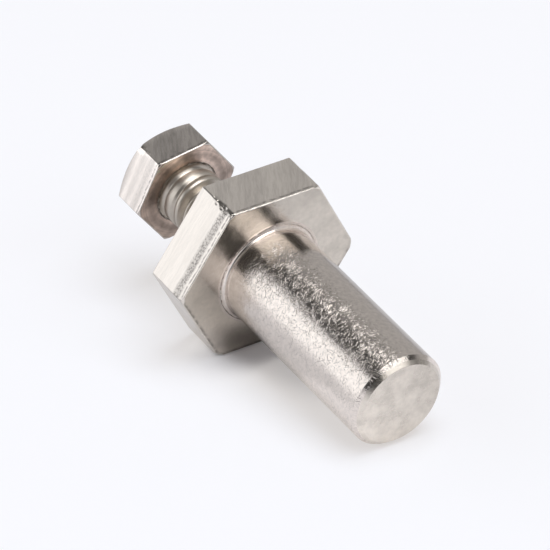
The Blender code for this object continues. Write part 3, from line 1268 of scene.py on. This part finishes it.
def oval_distance(tree, where, centre, squeeze):
    """Distance over the floor from a place, squeezed so that points on an oval are equally far."""
    moved = vectors(tree, "SUBTRACT", where, centre)
    return measured(tree, "LENGTH", vectors(tree, "MULTIPLY", moved, squeeze))


def painted_shade_in_metal(tree, where, behind, collar):
    """How light the paper is in the metal, with painted shade.

    It is painted grey round the object, darkest behind it and under the collar, where it is a painted
    contact shadow, and white in front of it and far to its left.
    """
    back = between(tree, behind, -0.004, 0.03, 1.0, 0.62)
    left = between(tree, measured(tree, "DOT_PRODUCT", where, towards(-130, 0)), 0.02, 0.1, 0.77, 1.0)
    front = between(tree, parts_of(tree, where)[0], -0.002, 0.008)
    grey = maths(tree, "MAXIMUM", maths(tree, "MINIMUM", back, left), front)
    return product(tree, grey, between(tree, collar, 0.0004, 0.0027, 0.45, 1.0))


def pale_paper():
    """Paper, part of whose white is a plain glow that the camera and the metal both see, painted darker far
    behind the object as painted shade.
    """
    settings = studio_settings()
    material = bpy.data.materials.new("pale_paper")
    material.use_nodes = True
    tree = material.node_tree
    shader = tree.nodes["Principled BSDF"]
    path = add(tree, "LightPath").outputs
    glossy = path["Is Glossy Ray"]
    where = add(tree, "TexCoord").outputs["Object"]
    behind = measured(tree, "DOT_PRODUCT", where, towards(135, 0))
    collar = oval_distance(tree, where, (-0.0025, 0, 0), (1, 0.45, 1))
    pin = oval_distance(tree, where, (0, 0, 0), (0.4, 1, 1))

    darker = maths(tree, "SUBTRACT", painted_shade_in_metal(tree, where, behind, collar), 1.0)
    in_metal = maths(tree, "MULTIPLY_ADD", glossy, darker, 1.0)
    # Painted shade: the paper darker far behind the object for every ray, and in the metal also grey round
    # it
    painted_dimming = product(tree, between(tree, behind, 0.08, 0.25, 1.0, 0.6), in_metal)
    paper = scaled(tree, (*settings.floor_tint,), painted_dimming)

    first_mirror = product(tree, glossy, maths(tree, "LESS_THAN", path["Ray Depth"], 1.5))
    seen = maths(tree, "MAXIMUM", path["Is Camera Ray"], first_mirror)
    seen = maths(tree, "MAXIMUM", seen, path["Is Transmission Ray"])
    under_pin = between(tree, pin, 0.0012, 0.005, 0.5, 1.0)
    beside = maths(tree, "MINIMUM", under_pin, between(tree, collar, 0.0015, 0.005))
    glow = product(tree, seen, settings.glow, beside)
    # The warm glow colour paints the shadows warm, as painted bounce light
    shining = vectors(tree, "MULTIPLY", paper, (*settings.glow_tint,))
    base = vectors(tree, "SUBTRACT", paper, scaled(tree, shining, glow))
    shader.inputs["Roughness"].default_value = 0.9
    shader.inputs["Specular IOR Level"].default_value = 0.0
    tree.links.new(base, shader.inputs["Base Color"])
    tree.links.new(shining, shader.inputs["Emission Color"])
    tree.links.new(glow, shader.inputs["Emission Strength"])
    return material


def towards(azimuth, elevation):
    """The direction from the object at these angles in degrees."""
    a = math.radians(azimuth)
    e = math.radians(elevation)
    return Vector((math.cos(a) * math.cos(e), math.sin(a) * math.cos(e), math.sin(e)))


# Height that the lamps look at, in metres
LIT_HEIGHT = 0.01


def soft_box(name, azimuth, elevation, distance, width, height, radiance, tint=(1, 1, 1)):
    """A lamp that looks at the object and shines with this radiance."""
    data = bpy.data.lights.new(name, "AREA")
    data.shape = "RECTANGLE"
    data.size = width
    data.size_y = height
    data.energy = radiance * math.pi * width * height
    data.color = tint
    lamp = bpy.data.objects.new(name, data)
    bpy.context.scene.collection.objects.link(lamp)
    way = towards(azimuth, elevation)
    lamp.location = way * distance + Vector((0, 0, LIT_HEIGHT))
    lamp.rotation_euler = way.to_track_quat("Z", "Y").to_euler()


def build_lights():
    settings = studio_settings()
    soft_box("left_soft_box", -130, 20.5, 0.45, 0.9, 0.335, settings.left, (0.97, 1.0, 1.04))
    soft_box("right_soft_box", 14, 36, 1.0, 0.9, 0.42, settings.right)
    soft_box("top_soft_box", 20, 77, 1.0, 0.8, 0.8, settings.top)


# Dark patches of the walls: azimuth, elevation, inner and outer radius in degrees, and how light they are
DARK_PATCHES = (
    (0, 15, 48, 66, 0.09),
    (-146, 53, 10, 27, 0.22),
)


def build_world():
    """Grey walls, dark in front of the object and in a patch high up behind it."""
    world = bpy.data.worlds.new("studio_walls")
    bpy.context.scene.world = world
    world.use_nodes = True
    tree = world.node_tree
    way = add(tree, "TexCoord").outputs["Generated"]
    level = between(tree, parts_of(tree, way)[2], 0.70, 0.84, 0.44, 0.24)
    for azimuth, elevation, inner, outer, light in DARK_PATCHES:
        facing = measured(tree, "DOT_PRODUCT", way, towards(azimuth, elevation))
        edge = [math.cos(math.radians(a)) for a in (outer, inner)]
        level = product(tree, level, between(tree, facing, *edge, 1.0, light))
    background = tree.nodes["Background"]
    background.inputs["Color"].default_value = (1, 0.99, 0.98, 1)
    tree.links.new(level, background.inputs["Strength"])


# The camera on the pin's own axes: its right, up and back, and its place in metres
CAMERA_AXES = (
    (0.555687, 0.826948, 0.085849),
    (-0.550895, 0.288903, 0.782975),
    (0.622677, -0.482382, 0.616101),
)
CAMERA_AT = (0.302814, -0.233717, 0.298941)


def build_camera():
    """The camera stands in front of the pin's free end, to its left, and looks down on it."""
    data = bpy.data.cameras.new("photo_camera")
    data.lens = studio_settings().lens
    data.sensor_width = 36
    data.clip_start = 0.01
    camera = bpy.data.objects.new("photo_camera", data)
    bpy.context.scene.collection.objects.link(camera)
    turn = Matrix(CAMERA_AXES).transposed().to_4x4()
    camera.matrix_world = pin_axis() @ Matrix.Translation(CAMERA_AT) @ turn
    bpy.context.scene.camera = camera


class HINGEPIN_PT_panel(bpy.types.Panel):
    """Hinge pin screw"""

    bl_label = "Hinge Pin Screw"
    bl_idname = "HINGEPIN_PT_panel"
    bl_space_type = "VIEW_3D"
    bl_region_type = "UI"
    bl_category = "Hinge Pin"

    def draw(self, context):
        layout = self.layout
        for group, operator in (
            (pin_settings(), "hingepin.pin"),
            (screw_settings(), "hingepin.screw"),
            (studio_settings(), "hingepin.studio"),
        ):
            box = layout.box()
            for name in group.bl_rna.properties.keys():
                if name not in ("rna_type", "name"):
                    box.prop(group, name)
            box.operator(operator)


CLASSES = (
    HingePinSettings,
    ScrewSettings,
    StudioSettings,
    HINGEPIN_OT_pin,
    HINGEPIN_OT_screw,
    HINGEPIN_OT_studio,
    HINGEPIN_PT_panel,
)


def register():
    for cls in CLASSES:
        bpy.utils.register_class(cls)
    bpy.types.Scene.hinge_pin = PointerProperty(type=HingePinSettings)
    bpy.types.Scene.hinge_screw = PointerProperty(type=ScrewSettings)
    bpy.types.Scene.hinge_studio = PointerProperty(type=StudioSettings)


def unregister():
    del bpy.types.Scene.hinge_studio
    del bpy.types.Scene.hinge_screw
    del bpy.types.Scene.hinge_pin
    for cls in reversed(CLASSES):
        bpy.utils.unregister_class(cls)


def main():
    register()
    bpy.ops.hingepin.pin()
    bpy.ops.hingepin.screw()
    bpy.ops.hingepin.studio()
    bpy.context.view_layer.update()


if __name__ == "__main__":
    main()
